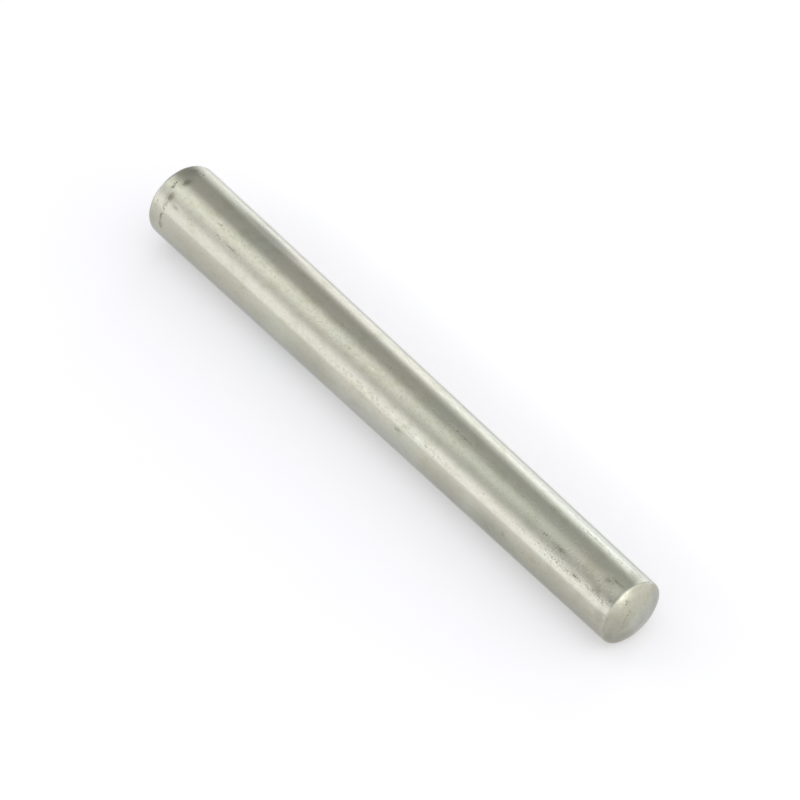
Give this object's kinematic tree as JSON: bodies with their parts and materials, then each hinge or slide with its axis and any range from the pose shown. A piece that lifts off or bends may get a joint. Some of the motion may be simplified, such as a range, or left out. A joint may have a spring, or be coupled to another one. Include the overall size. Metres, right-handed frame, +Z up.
{
  "type": "taper pin",
  "caption": "Solid ground steel taper pin with domed ends, driven into a matching taper-reamed hole to locate or lock two parts.",
  "frame": {"origin": "on the pin's axis, in the plane of the large end's rim", "axes": "+X along the axis from the large end to the small end, the way the pin is driven in; +Z up, with the pin lying level"},
  "size_m": [0.0824, 0.0096, 0.0096],
  "materials": {
    "ground_steel": "ground and tumbled, warm grey, lightly mottled, with small dirt specks"
  },
  "bodies": {
    "root": {"taper_pin": "ground_steel"}
  },
  "joints": []
}
